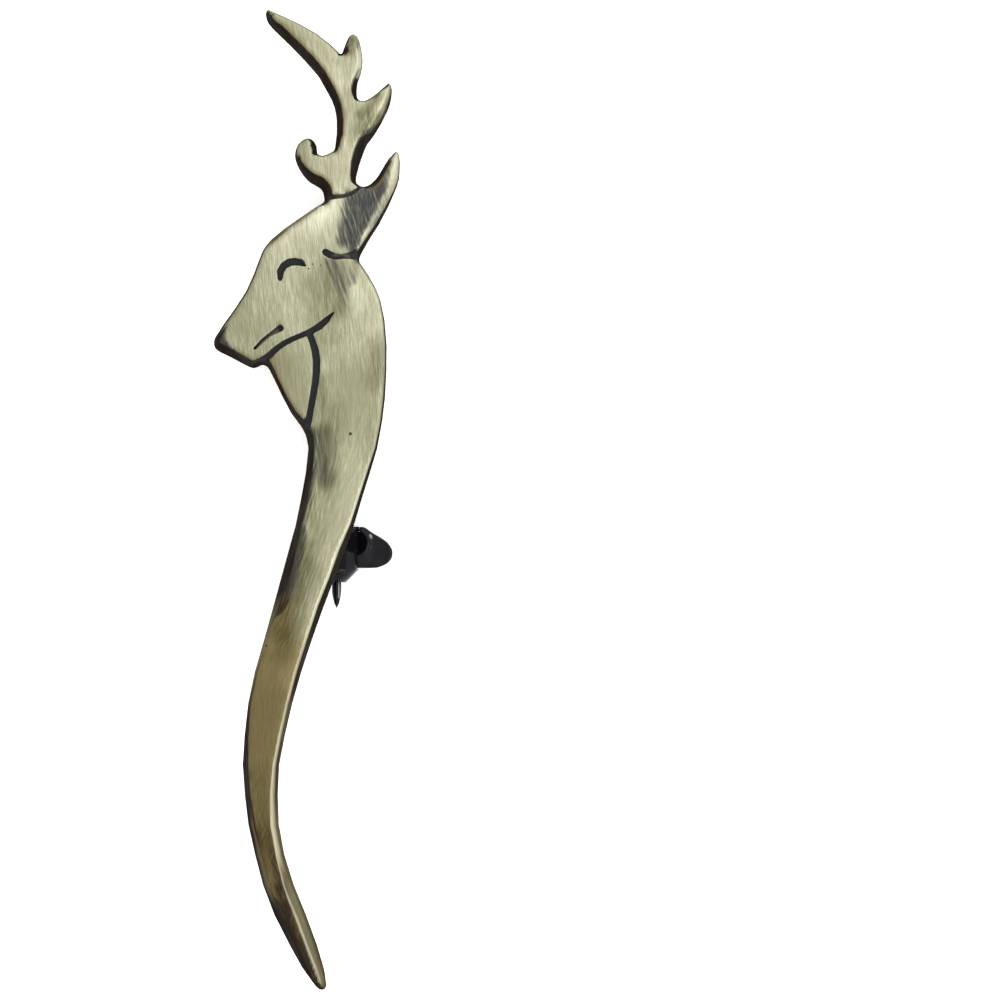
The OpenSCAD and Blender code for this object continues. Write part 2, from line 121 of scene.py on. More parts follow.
class Graph:
    """A material's nodes, added one after another."""

    def __init__(self, name):
        self.material = bpy.data.materials.new(name)
        self.material.use_nodes = True
        self.tree = self.material.node_tree
        self.shader = self.tree.nodes["Principled BSDF"]

    def put(self, socket, value):
        if isinstance(value, bpy.types.NodeSocket):
            self.tree.links.new(value, socket)
        else:
            socket.default_value = value

    def node(self, kind, inputs, output=0, **settings):
        node = self.tree.nodes.new(kind)
        for key, value in settings.items():
            setattr(node, key, value)
        for key, value in inputs.items():
            self.put(node.inputs[key], value)
        return node.outputs[output]

    def math(self, operation, a, b=0.0, c=0.0):
        return self.node("ShaderNodeMath", {0: a, 1: b, 2: c}, operation=operation)

    def times(self, value, *others):
        """The product of some values."""
        for other in others:
            value = self.math("MULTIPLY", value, other)
        return value

    def most(self, value, *others):
        """The largest of some values."""
        for other in others:
            value = self.math("MAXIMUM", value, other)
        return value

    def plus(self, value, other, share=1.0):
        """A value with a share of another added."""
        return self.math("MULTIPLY_ADD", other, share, value)

    def apart(self, a, b):
        """How far two values are from each other."""
        return self.math("ABSOLUTE", self.math("SUBTRACT", a, b))

    def step(self, value, low, high, start=0.0, end=1.0):
        """A smooth step from start, at low, to end, at high."""
        return self.node(
            "ShaderNodeMapRange",
            {"Value": value, "From Min": low, "From Max": high, "To Min": start, "To Max": end},
            interpolation_type="SMOOTHSTEP",
        )

    def mix(self, factor, a, b, blend="MIX"):
        return self.node(
            "ShaderNodeMix", {0: factor, 6: a, 7: b}, 2, data_type="RGBA", blend_type=blend
        )

    def place(self):
        return self.node("ShaderNodeTexCoord", {}, "Object")

    def part(self, vector, axis):
        return self.node("ShaderNodeSeparateXYZ", {"Vector": vector}, axis)

    def attribute(self, name, output="Fac"):
        return self.node("ShaderNodeAttribute", {}, output, attribute_name=name)

    def noise(self, vector, scale, stretch=(1, 1, 1), detail=3.0, rough=0.55):
        placed = self.node("ShaderNodeMapping", {"Vector": vector, "Scale": stretch})
        return self.node(
            "ShaderNodeTexNoise",
            {"Vector": placed, "Scale": scale, "Detail": detail, "Roughness": rough},
        )

    def spread(self, value, *parts):
        """A value made uneven by noises, each given with its weight."""
        for noise, weight in parts:
            value = self.plus(value, self.math("SUBTRACT", noise, 0.5), weight)
        return value

    def sheared(self, vector, slope):
        """A place whose x is moved by a share of its y."""
        x, y, z = (self.part(vector, axis) for axis in "XYZ")
        return self.node("ShaderNodeCombineXYZ", {"X": self.plus(x, y, slope), "Y": y, "Z": z})

    def spots(self, place, rows, outer, inner):
        """1 on round spots of the face, given as [x, y, width], and 0 away from them."""
        found = 0.0
        for x, y, wide in rows:
            middle = (x * MM, y * MM, FACE_Z)
            away = self.node(
                "ShaderNodeVectorMath", {0: place, 1: middle}, "Value", operation="DISTANCE"
            )
            found = self.most(found, self.step(away, outer * wide * MM, inner * wide * MM))
        return found

    def bump(self, height, distance, strength=1.0, normal=None):
        inputs = {"Height": height, "Distance": distance, "Strength": strength}
        if normal is not None:
            inputs["Normal"] = normal
        return self.node("ShaderNodeBump", inputs)

    def finish(self, **inputs):
        for key, value in inputs.items():
            self.put(self.shader.inputs[key.replace("_", " ")], value)
        return self.material


# Noises that follow the brush strokes, as
# [lean of the strokes, fineness across, along and into the metal, detail, roughness]
STROKES = {
    "fine": [0.0, 9.0, 0.7, 1.0, 2.0, 0.6],
    "lean": [0.16, 6.0, 0.4, 1.0, 2.0, 0.6],
    "broad": [0.0, 2.0, 0.14, 0.6, 3.0, 0.6],
    "cloud": [0.0, 0.5, 0.22, 0.5, 3.0, 0.55],
    "streak": [0.0, 5.0, 0.22, 1.0, 2.0, 0.6],
    "scratches": [0.34, 4.5, 0.14, 1.0, 1.0, 0.5],
    "cross": [-0.55, 5.0, 0.45, 1.0, 2.0, 0.6]
}

# Colours of the brass as they show on a screen, as
# [(red, green, blue) near the antler, (red, green, blue) where age has browned it]
NEW_AND_AGED = {
    "metal": [(130, 129, 107), (88, 79, 53)],
    "soot": [(50, 51, 50), (36, 29, 22)],
    "scratch": [(96, 96, 88), (74, 63, 43)],
    "creeping patina and shade": [(44, 43, 37), (34, 27, 20)],
    # crest: worn metal painted brighter as a highlight on the side facing the light
    "crest": [(152, 150, 130), (132, 129, 110)],
    # wall: painted shade, the darker colour given to bare metal on steep walls
    "wall": [(98, 94, 76), (62, 55, 35)]
}

# Heights along the plate, in millimetres, between which a look changes: from, to
LOWER_NECK = [-28.0, -38.0]
RIDGE_LEAVES_EDGE = [-34.5, -42.0]
RIDGE_WIDENS = [-37.0, -43.0]
BLUE_LINES = [-10.0, -8.0]
CROSSED_TINES = [33.0, 36.0]

# Small pits of the casting, as [x, y, width] in millimetres
PITS = [
    [4.45, 6.72, 0.34], [-4.15, -14.87, 0.26], [0.2, 23.55, 0.16], [0.6, 24.0, 0.14],
    [1.45, 23.9, 0.14]
]

# Spots of patina that fill the notch of the curled tine, as [x, y, width] in millimetres
NOTCH_SPOTS = [
    [0.84, 36.45, 0.80], [0.92, 36.15, 0.90], [0.92, 35.85, 0.90], [0.95, 35.60, 0.86]
]


class Brass(Graph):
    """The nodes of the brass, with the values that its layers share."""

    def __init__(self, name):
        super().__init__(name)
        self.at = SimpleNamespace(**{value: self.attribute(value) for value in PLATE_VALUES})
        self.spot = self.place()
        brush = self.attribute("brush", "Vector")
        self.height = self.part(brush, "Y")
        self.depth = self.times(
            self.math("SUBTRACT", FACE_Z, self.part(self.spot, "Z")), 1.0 / MM
        )
        strokes = {}
        for stroke, (lean, across, along, deep, detail, rough) in STROKES.items():
            leaning = self.sheared(brush, lean)
            strokes[stroke] = self.noise(leaning, 1.0, (across, along, deep), detail, rough)
        self.by = SimpleNamespace(**strokes)
        self.grain = self.noise(self.spot, 9000.0, (1, 1, 1), 2.0, 0.6)
        self.aged = self.step(self.spread(self.at.age, (self.by.cloud, 0.4)), 0.1, 0.9)
        self.crossed = self.most(self.at.age, self.step(self.height, *CROSSED_TINES))
        self.lit = self.step(self.at.side, -0.4, 0.1)
        # Painted shade: edges with narrow walls that face away from the light
        self.shady = self.times(
            self.step(self.at.rim, 0.30, 0.18), self.step(self.at.side, 0.25, -0.35)
        )
        self.ragged = self.spread(self.at.edge, (self.by.cloud, 0.12), (self.by.fine, 0.10))
        self.sunk = self.math("DIVIDE", self.depth, self.plus(1.0, self.at.rounded, 4.0))

    def new_or_aged(self, name):
        new, aged = NEW_AND_AGED[name]
        return self.mix(self.aged, screen(*new), screen(*aged))

    def brushed_metal(self):
        """Brushed metal, browner towards the tip, with painted light and shade in patches, and
        paler where it is bright.
        """
        at, by = self.at, self.by
        metal = self.mix(
            self.step(self.height, *LOWER_NECK), self.new_or_aged("metal"), screen(88, 77, 52)
        )
        strokes = self.spread(
            0.0, (by.fine, 1.7), (by.lean, 0.7), (by.broad, 0.25), (self.grain, 0.5)
        )
        calm = self.step(self.most(at.satin, self.times(at.age, 0.6)), 0.0, 1.0, 1.0, 0.25)
        # Painted light and shade from the patches, over the brush strokes
        stops = self.plus(self.spread(at.tone, (by.cloud, 0.3)), strokes, calm)
        across = self.times(self.crossed, self.math("SUBTRACT", by.cross, 0.5))
        across = self.spread(across, (by.streak, 1.0))
        across = self.plus(across, self.step(by.scratches, 0.60, 0.68), 0.2)
        stops = self.plus(stops, self.times(self.step(at.tone, -0.2, -0.8), across), 1.8)
        level = self.math("POWER", 2.0, stops)
        blue = self.math("POWER", 2.0, self.times(stops, 1.2))
        light = self.node("ShaderNodeCombineXYZ", {"X": level, "Y": level, "Z": blue})
        return self.mix(1.0, metal, light, "MULTIPLY")

    def stained(self):
        """How dark the stains are, drawn out by the brush, and their colour with its scratches."""
        at, by = self.at, self.by
        drawn = self.spread(
            at.stain, (by.fine, 1.3), (by.lean, 1.2), (by.broad, 0.4), (by.scratches, -1.2)
        )
        share = self.times(self.step(drawn, 0.05, 1.0), self.step(at.stain, 0.0, 0.25))
        marks = self.times(self.step(by.cross, 0.55, 0.72), self.crossed)
        marks = self.most(self.step(by.fine, 0.5, 0.72), marks)
        soot, scratch = self.new_or_aged("soot"), self.new_or_aged("scratch")
        return share, self.mix(self.times(marks, 0.6), soot, scratch)

    def creeping_patina_and_shade(self, colour):
        """Dark patina with painted shade, creeping over the face from the shady edges."""
        at, by = self.at, self.by
        uneven = self.spread(-0.12, (by.fine, 1.2), (by.streak, 2.2), (by.broad, 0.3))
        crept = self.step(self.plus(at.edge, uneven, at.creep), at.creep, -0.1)
        # Only on the edges away from the light: partly painted shade
        crept = self.times(crept, self.step(at.creep, 0.0, 0.3), self.step(at.side, 0.2, -0.3))
        return self.mix(self.times(crept, 0.9), colour, self.new_or_aged("creeping patina and shade"))

    def painted_ochre_edge(self, colour):
        """Painted shade: the ochre line between the face and the dark walls, on the edges away from
        the light.
        """
        at = self.at
        edge_shade = self.times(
            self.shady, self.step(self.ragged, 0.55, 0.06),
            self.step(self.most(at.creep, at.age), 0.35, 0.1), self.step(at.bare, 0.6, 0.2)
        )
        return self.mix(self.times(edge_shade, 0.75), colour, screen(90, 77, 41))

    def worn_and_highlighted_crest(self, colour):
        """Crests that wear has rubbed bright, with a painted highlight on the side facing the
        light, and the duller flank below the ridge of the tip, which is painted shade.
        """
        at, by = self.at, self.by
        reach = self.step(self.height, *RIDGE_WIDENS, 0.12, 0.26)
        inset = self.step(self.height, *RIDGE_LEAVES_EDGE, 0.0, 0.22)
        # Painted highlight on the worn crests, only on the side facing the light
        crest = self.times(
            self.step(self.apart(at.edge, inset), reach, 0.0), self.step(self.sunk, 0.40, 0.13),
            self.step(self.spread(at.worn, (by.fine, 0.7), (by.lean, 0.5)), 0.1, 0.9), self.lit
        )
        colour = self.mix(crest, colour, self.new_or_aged("crest"))
        # Painted shade on the flank below the ridge
        shaded_flank = self.times(
            self.step(at.edge, inset, 0.0), self.step(inset, 0.05, 0.2), at.worn, self.lit, 0.7
        )
        return self.mix(shaded_flank, colour, screen(84, 82, 64))

    def groove(self):
        return self.step(self.spread(self.at.line, (self.by.broad, 0.06)), 0.09, 0.02)

    def darkened(self, groove):
        """How much patina lies on the walls and in the engraved lines, with painted shade along the
        narrow edges that face away from the light.
        """
        at = self.at
        # Painted shade along the narrow edges that face away from the light
        shade = self.times(self.shady, self.step(self.ragged, 0.16, 0.0))
        wall = self.step(
            self.plus(self.depth, at.worn, -0.08),
            self.plus(0.27, at.rounded, -0.22), self.plus(0.36, at.rounded, 0.30)
        )
        dark = self.times(
            self.most(shade, wall, groove),
            self.step(self.spread(at.bare, (self.by.cloud, 0.3)), 0.7, 0.1)
        )
        return self.most(dark, self.step(self.depth, 1.4, 1.9))

    def patina(self, groove):
        brown = self.mix(
            self.step(self.by.cloud, 0.35, 0.7), screen(25, 21, 18), screen(36, 33, 30)
        )
        blue = self.times(groove, self.step(self.height, *BLUE_LINES))
        return self.mix(blue, brown, screen(40, 40, 42))


def antique_brass():
    """Brushed brass, with dark patina in the lines, on the walls and in stains on the face."""
    g = Brass("antique_brass")
    stained, soot = g.stained()
    colour = g.mix(stained, g.brushed_metal(), soot)
    colour = g.painted_ochre_edge(g.creeping_patina_and_shade(colour))
    colour = g.worn_and_highlighted_crest(colour)

    # Painted shade: bare metal on the steep walls is coloured darker than on the face, and
    # dark again near the foot
    steep_shade = g.step(g.plus(g.sunk, g.at.worn, -0.16), 0.12, 0.34)
    colour = g.mix(steep_shade, colour, g.new_or_aged("wall"))
    groove = g.groove()
    dark = g.darkened(groove)
    colour = g.mix(dark, colour, g.patina(groove))

    pit = g.spots(g.spot, PITS, 0.6, 0.35)
    colour = g.mix(g.times(pit, 0.9), colour, screen(40, 36, 30))
    filled = g.spots(g.spot, NOTCH_SPOTS, 0.56, 0.44)
    colour = g.mix(filled, colour, screen(32, 31, 27))
    dark = g.most(dark, filled)

    # The back is as cast
    as_cast = g.mix(g.grain, screen(86, 77, 54), screen(134, 123, 90))
    colour = g.mix(g.step(g.depth, 2.42, 2.5), colour, as_cast)

    metallic = g.times(g.math("SUBTRACT", 1.0, dark), g.step(steep_shade, 0.0, 1.0, 1.0, 0.15))
    dull = g.most(dark, g.times(stained, 0.6))
    rough = g.plus(g.spread(0.36, (g.by.broad, 0.12)), dull, 0.14)
    normal = g.bump(g.by.fine, 0.012 * MM, 0.8)
    normal = g.bump(g.grain, 0.012 * MM, 0.5, normal)
    normal = g.bump(g.math("SUBTRACT", 1.0, pit), 0.08 * MM, 1.0, normal)
    return g.finish(
        Base_Color=colour, Metallic=metallic, Roughness=rough, Normal=normal,
        Specular_IOR_Level=0.0
    )


# Painted highlight: a bright stripe near the stem's point, as [x, lower y, upper y, half its width]
# in millimetres
STEM_HIGHLIGHT = [3.2, -10.2, -8.2, 0.08]


def black_gunmetal(name, gloss, highlight=None):
    """Black plated steel with a faint unevenness, from half glossy at 0 to polished at 1, with
    painted shade in the hollow by the lever and on the case's free end, a painted glint, and a
    painted highlight stripe where one is given.
    """
    g = Graph(name)
    place = g.place()
    cloud = g.noise(place, 900.0, (1, 1, 1), 3.0, 0.55)
    grain = g.noise(place, 7000.0, (1, 1, 1), 2.0, 0.6)
    hollow = g.attribute("hollow")
    colour = g.mix(cloud, screen(18, 18, 20), screen(32, 32, 34))
    # Painted shade: the hollow by the lever's root, and the case's free end, are coloured near
    # black
    colour = g.mix(hollow, colour, screen(8, 8, 12))
    # Painted glint: a bright spot on the lever
    colour = g.mix(g.attribute("painted_glint"), colour, screen(120, 120, 122))
    # Painted highlight: a bright stripe near the stem's point
    if highlight:
        across, low, high, half = (size * MM for size in highlight)
        y = g.part(place, "Y")
        polish_and_highlight = g.times(
            g.step(g.apart(g.part(place, "X"), across), half, half / 4),
            g.step(y, low, low + 0.3 * MM), g.step(y, high, high - 0.8 * MM)
        )
        colour = g.mix(polish_and_highlight, colour, screen(112, 112, 114))
    return g.finish(
        Base_Color=colour, Metallic=g.plus(0.8, hollow, -0.8),
        Roughness=g.plus(0.10 - 0.08 * gloss, cloud, 0.12 - 0.08 * gloss),
        Normal=g.bump(grain, 0.006 * MM, 0.5 - 0.4 * gloss), Specular_IOR_Level=0.0
    )


def pale_floor():
    g = Graph("pale_floor")
    colour = g.mix(g.noise(g.place(), 12.0), screen(246, 246, 246), screen(250, 250, 250))
    return g.finish(Base_Color=colour, Roughness=0.9)


# Mesh helpers

def merged(node):
    """A bmesh of a CAD node with its loose triangles joined."""
    bm = bmesh.new()
    bm.from_mesh(frame["nodes"][node].data)
    bmesh.ops.remove_doubles(bm, verts=bm.verts, dist=MERGE)
    return bm


def join_flats(bm):
    """Joins the triangles of each flat face into one."""
    bmesh.ops.dissolve_limit(bm, angle_limit=math.radians(1.0), verts=bm.verts, edges=bm.edges)


def cut_off(bm, place, normal, above):
    """Cuts a bmesh by a plane and throws away the side above it, or below it."""
    bmesh.ops.bisect_plane(
        bm, geom=bm.verts[:] + bm.edges[:] + bm.faces[:], dist=0.0,
        plane_co=place, plane_no=normal, clear_outer=above, clear_inner=not above
    )
    return [e for e in bm.edges if e.is_boundary]


def new_verts(made):
    return [v for v in made["geom"] if isinstance(v, bmesh.types.BMVert)]


def marked(bm):
    """The faces that are marked, by a material index of 1, as the ones being worked on."""
    return [f for f in bm.faces if f.material_index == 1]


def unmark(bm):
    for f in bm.faces:
        f.material_index = 0


def level_with(face, z):
    return face.normal.z > FLAT and abs(face.calc_center_median().z - z) < NEAR


def cut_squares(bm, low, high, size):
    """Cuts the marked faces into squares, seen from the front."""
    for axis in (1, 0):
        normal = [float(axis == 0), float(axis == 1), 0.0]
        for i in range(1, math.ceil((high[axis] - low[axis]) / size)):
            cut = low[axis] + i * size
            geom = {}
            for f in marked(bm):
                reach = [v.co[axis] for v in f.verts]
                if min(reach) < cut < max(reach):
                    geom.update(dict.fromkeys([f, *f.edges, *f.verts]))
            if geom:
                bmesh.ops.bisect_plane(
                    bm, geom=list(geom), dist=NEAR / 2,
                    plane_co=[c * cut for c in normal], plane_no=normal
                )


def finished(bm, name, material, sharp=35.0):
    """Turns a bmesh into a shaded object at the origin."""
    mesh = bpy.data.meshes.new(name)
    bm.to_mesh(mesh)
    bm.free()
    mesh.materials.append(material)
    mesh.shade_smooth()
    mesh.set_sharp_from_angle(angle=math.radians(sharp))
    piece = bpy.data.objects.new(name, mesh)
    bpy.context.scene.collection.objects.link(piece)
    return piece


def placed(piece, body, slot, *nodes):
    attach(piece, body)
    if nodes:
        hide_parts(*nodes)
    return piece


# The cast plate

# Middle line that the brush strokes follow, as [y, x] in millimetres from the top down
BRUSH_LINE = [
    [51, 2.2], [30, 3.0], [10, 4.2], [4, 3.6], [-2, 2.0], [-8, 0.0], [-14, -1.9], [-20, -3.4],
    [-26, -4.0], [-31, -3.8], [-36, -2.9], [-41, -1.5], [-46, 0.2], [-50, 1.0]
]

# Heights between which the brass browns, in millimetres, and how far that slants over the neck
BROWNING = [-6.0, -16.5]
BROWNING_SLANT = 1.4

# Stains of dark patina: a stroke from one place to another, in millimetres, with the reach of
# its soft edge and its depth from 0 to 1, as [x, y, x, y, reach, depth]
STAINS = [
    [6.8, 31.6, 5.8, 28.5, 1.2, 1.0], [5.6, 30.0, 4.9, 26.6, 1.1, 1.0],
    [7.5, 31.6, 6.6, 28.4, 1.1, 1.0], [8.2, 34.2, 7.4, 31.4, 0.6, 0.75],
    [5.0, 30.6, 6.4, 31.6, 0.7, 1.0], [4.4, 31.0, 3.7, 26.4, 0.8, 0.8],
    [4.6, 25.4, 5.2, 24.6, 0.5, 0.8], [6.0, 37.4, 5.3, 34.5, 0.5, 0.75],
    [2.5, 24.2, 3.4, 21.4, 0.7, 0.5], [3.4, 23.8, 3.8, 20.2, 0.6, 0.4],
    [4.9, 24.0, 4.6, 22.2, 0.5, 0.4], [-9.0, 16.2, -8.4, 15.0, 0.8, 1.0],
    [1.4, 6.0, 1.6, 2.2, 1.4, 0.35], [-0.8, -5.2, -1.6, -8.6, 0.9, 0.5],
    [-3.5, -35.6, -2.6, -40.2, 0.4, 0.6], [-2.6, -39.6, -1.5, -44.8, 0.7, 1.0],
    [-0.3, -45.0, 0.6, -49.2, 0.7, 0.8]
]

# Painted light and shade patches over the brushing, as [x, y, x, y, reach, stops of light]
LIGHT_AND_SHADE_PATCHES = [
    [-2.5, 27.0, 1.0, 28.8, 2.6, 0.35], [1.2, 28.8, 2.6, 30.6, 1.4, 0.45],
    [-7.0, 18.5, -4.5, 15.0, 3.2, -0.45], [-1.8, 13.5, -0.6, 9.5, 2.4, -0.5],
    [6.4, 21.5, 7.4, 18.0, 1.8, 0.2], [7.6, 15.5, 7.3, 12.5, 1.6, -0.45],
    [4.2, 12.5, 4.0, 8.0, 2.2, -0.4], [7.2, 14.0, 6.6, 5.0, 1.4, -0.3],
    [2.4, -5.0, 0.2, -14.5, 1.4, 0.05], [0.8, 6.0, 0.0, -3.0, 2.2, -0.5],
    [1.6, 6.6, 2.0, 2.2, 1.2, -1.0], [2.6, 23.8, 3.4, 19.6, 1.4, -0.75],
    [2.4, 2.0, 1.0, -5.0, 1.6, -0.25], [-0.6, -2.4, 0.2, -3.6, 0.8, 0.7],
    [0.2, -6.5, -0.8, -9.5, 1.0, -0.5], [1.9, -7.6, 1.4, -9.0, 1.0, -0.15],
    [-0.4, -14.0, -1.6, -18.5, 1.2, 0.4], [-1.6, -11.6, -1.8, -13.0, 0.9, 0.35],
    [-0.6, -5.0, -2.8, -13.0, 1.8, -0.65], [0.2, -7.5, -2.4, -15.0, 2.0, -0.5],
    [3.0, 42.5, 4.2, 38.0, 1.8, 0.35], [3.4, 37.0, 3.6, 31.6, 1.6, 0.2],
    [-2.6, 48.3, -0.9, 46.9, 1.2, -0.35], [4.7, 47.0, 4.7, 46.0, 0.9, -0.9],
    [7.9, 40.9, 7.2, 39.6, 0.3, 0.05], [7.2, 41.0, 5.4, 39.2, 0.5, -0.7],
    [8.7, 40.6, 7.2, 37.0, 0.6, -1.2], [6.4, 38.8, 5.4, 37.2, 1.2, -0.8],
    [4.3, 41.4, 4.6, 38.2, 1.0, -0.35], [-0.2, 36.2, -0.3, 34.4, 0.8, -0.3],
    [8.6, 33.0, 7.6, 30.0, 0.6, -0.1], [-4.9, -29.0, -4.2, -34.0, 2.0, -0.3],
    [-3.9, -35.0, -0.8, -43.5, 2.2, -0.8], [0.2, -45.6, 1.2, -49.4, 1.6, -1.3],
    [-4.6, -20.0, -4.8, -35.0, 2.4, -0.22], [1.6, 12.0, 1.8, 7.4, 1.0, -0.5],
    [0.8, 21.8, 2.0, 16.5, 1.6, -0.5], [4.9, 21.6, 5.0, 19.4, 0.9, 0.4],
    [-3.2, -12.2, -3.8, -14.6, 1.0, 0.4], [3.0, 9.0, 3.0, 4.5, 1.0, -0.3],
    [0.0, 0.5, -0.4, -5.5, 1.0, -0.3]
]

# Places that are smoother than the rest, as [x, y, x, y, reach, share]
SATIN = [
    [-2.2, 13.8, -0.8, 8.6, 1.8, 0.9], [4.4, 12.0, 4.0, 8.0, 1.8, 0.7],
    [4.8, 3.0, 3.2, -3.0, 1.6, 0.4]
]

# How far the dark patina and painted shade creep over the face from the edge, as
# [x, y, x, y, reach, millimetres]
CREEPS = [
    [-0.2, 6.6, -0.6, 0.5, 1.6, 1.1], [-0.7, 0.0, -1.3, -2.0, 1.6, 1.2],
    [-1.4, -3.4, -1.7, -4.6, 1.4, 2.8], [-1.8, -5.0, -3.2, -9.9, 1.6, 3.3],
    [-5.8, -28.0, -4.9, -34.0, 1.2, 0.35], [-2.9, -41.8, -0.9, -45.6, 1.2, 1.0],
    [-0.6, -46.2, 0.8, -49.6, 1.0, 0.7], [-9.0, 17.0, -8.0, 14.6, 0.9, 0.7],
    [6.4, 37.6, 4.9, 33.2, 0.8, 0.5]
]

# Places on the walls and in the lines that the patina has left, as [x, y, x, y, reach, share]
BARE = [
    [4.5, 47.0, 4.5, 45.9, 0.25, 0.9], [4.7, 47.4, 5.3, 46.9, 0.3, 0.9],
    [5.4, 46.3, 5.5, 43.4, 0.3, 0.9], [8.9, 41.6, 9.0, 40.4, 0.35, 0.8],
    [7.9, 39.6, 6.3, 37.4, 0.4, 0.42], [9.0, 35.0, 9.3, 33.6, 0.35, 0.8],
    [4.2, 24.9, 4.4, 24.8, 0.25, 0.8], [3.0, 30.85, 5.2, 31.5, 0.35, 0.36],
    [2.8, 25.0, 4.1, 24.9, 0.25, 0.5], [-2.9, 17.3, -4.7, 15.7, 0.30, 0.6],
    [-2.2, 50.0, -0.6, 49.3, 0.25, 0.6], [-3.4, -11.6, -5.9, -18.0, 0.6, 1.0],
    [-5.9, -18.4, -6.2, -20.4, 0.6, 0.6], [-1.5, -20.0, -2.6, -25.0, 0.4, 0.42],
    [-2.6, -25.0, -3.1, -29.0, 0.3, 0.38], [-3.1, -29.0, -3.0, -33.0, 0.3, 0.34],
    [-3.0, -33.0, -2.3, -36.8, 0.3, 0.5], [-2.3, -36.8, 0.5, -45.0, 0.3, 0.55],
    [0.5, -45.0, 1.6, -48.0, 0.3, 0.5], [-5.55, -31.6, -4.65, -36.7, 0.3, 0.75],
    [-4.65, -36.7, -3.5, -40.8, 0.35, 0.75]
]

# Places where the patina of a line spreads over the face, as [x, y, x, y, reach, share]
SPREADS = [
    [4.7, 25.2, 5.2, 25.5, 0.25, 1.0], [-0.65, 24.35, -0.42, 24.22, 0.28, 1.0]
]

# Edges whose crest is worn bright and painted as a highlight, as [x, y, x, y, reach, share]
WORN_HIGHLIGHTS = [
    [5.0, 45.6, 5.1, 44.0, 0.4, 1.0], [5.1, 44.0, 4.4, 42.6, 0.4, 0.8],
    [9.3, 34.6, 8.9, 31.6, 0.7, 0.8], [8.8, 31.4, 6.1, 26.6, 0.7, 0.7],
    [7.2, 21.6, 7.9, 18.4, 0.7, 0.4], [6.2, 2.4, 4.7, -0.4, 0.7, 0.6],
    [4.7, -0.4, 3.6, -4.5, 0.7, 0.75], [3.6, -4.5, 1.7, -9.5, 0.7, 0.7],
    [1.7, -9.5, -0.7, -16.1, 0.7, 0.6], [-0.7, -16.1, -2.5, -23.1, 0.7, 0.7],
    [-2.5, -23.1, -3.3, -27.9, 0.7, 0.8], [-3.4, -28.2, -3.4, -33.1, 0.7, 0.8],
    [-3.4, -33.1, -2.5, -36.8, 0.7, 1.0], [-2.5, -36.8, -1.3, -40.8, 0.7, 1.0],
    [-1.3, -40.8, 0.7, -47.3, 0.7, 0.9], [0.9, -47.3, 1.5, -49.0, 0.5, 0.7]
]

# Edges that are rounded off more widely than the rest, as [x, y, x, y, reach, share]
ROUNDED = [
    [5.2, 45.9, 5.2, 42.6, 0.6, 1.0], [7.6, 39.6, 5.9, 37.2, 0.6, 0.7],
    [5.8, 37.0, 5.4, 34.0, 0.5, 0.5]
]


def brush_x(y):
    """Place across the plate of the brush line at a height, both in millimetres."""
    for (y0, x0), (y1, x1) in zip(BRUSH_LINE, BRUSH_LINE[1:]):
        if y >= y1:
            return x0 + (x1 - x0) * min(1.0, max(0.0, (y0 - y) / (y0 - y1)))
    return BRUSH_LINE[-1][1]


def nearness(stroke, x, y, core=0.25):
    """1 on a stroke and 0 past its reach."""
    x0, y0, x1, y1, reach = stroke[:5]
    dx, dy = x1 - x0, y1 - y0
    t = min(1.0, max(0.0, ((x - x0) * dx + (y - y0) * dy) / (dx * dx + dy * dy)))
    away = math.hypot(x - x0 - t * dx, y - y0 - t * dy)
    return 1.0 - smooth_step(core * reach, 1.5 * reach, away)


def covered(strokes, x, y):
    """How much of a place a table of strokes covers, 0 to 1."""
    left = 1.0
    for stroke in strokes:
        left *= 1.0 - stroke[5] * nearness(stroke, x, y)
    return 1.0 - left


def total(strokes, x, y):
    """What a table of strokes adds up to at a place."""
    return sum(stroke[5] * nearness(stroke, x, y, 0.0) for stroke in strokes)


def highest(strokes, x, y):
    """The most that any stroke of a table gives at a place."""
    return max(stroke[5] * nearness(stroke, x, y) for stroke in strokes)


def age_at(x, y):
    """How far the brass has browned, from the catch down."""
    return smooth_step(*BROWNING, y + BROWNING_SLANT * (x - brush_x(y)))


def along(edges, step):
    """Points along edges, no further apart than a step."""
    points = []
    for edge in edges:
        a, b = (v.co for v in edge.verts)
        count = max(1, math.ceil((b - a).length / step))
        points += [a.lerp(b, i / count) for i in range(count + 1)]
    return points


def flat_tree(points):
    tree = KDTree(len(points))
    for i, point in enumerate(points):
        tree.insert((point.x, point.y, 0.0), i)
    tree.balance()
    return tree


def away_from(tree, point):
    """Distance to the nearest point of a tree, seen from the front."""
    return tree.find((point.x, point.y, 0.0))[2]


def mean_near(tree, values, point, count):
    """Mean of the values at the points of a tree that are nearest to a point."""
    near = tree.find_n((point.x, point.y, 0.0), count)
    return sum(values[number] for _, number, _ in near) / len(near)


def plate_shell():
    """The plate alone: the cast body above its back, closed by a flat back with a small chamfer."""
    bm = merged("stag_body")
    rim = cut_off(bm, (0, 0, CLEAR_Z), (0, 0, 1), above=False)
    low = new_verts(bmesh.ops.extrude_edge_only(bm, edges=rim))
    for v in low:
        v.co.z = BACK_Z
    open_edges = [e for e in bm.edges if e.is_boundary]
    back = bmesh.ops.edgeloop_fill(bm, edges=open_edges)["faces"]
    bmesh.ops.inset_region(bm, faces=back, thickness=BACK_CHAMFER, use_even_offset=False)
    inner = {v for f in back for v in f.verts}
    for v in low:
        if v not in inner:
            v.co.z = BACK_Z + BACK_CHAMFER
    bmesh.ops.triangulate(bm, faces=back)
    bmesh.ops.recalc_face_normals(bm, faces=bm.faces)
    return bm


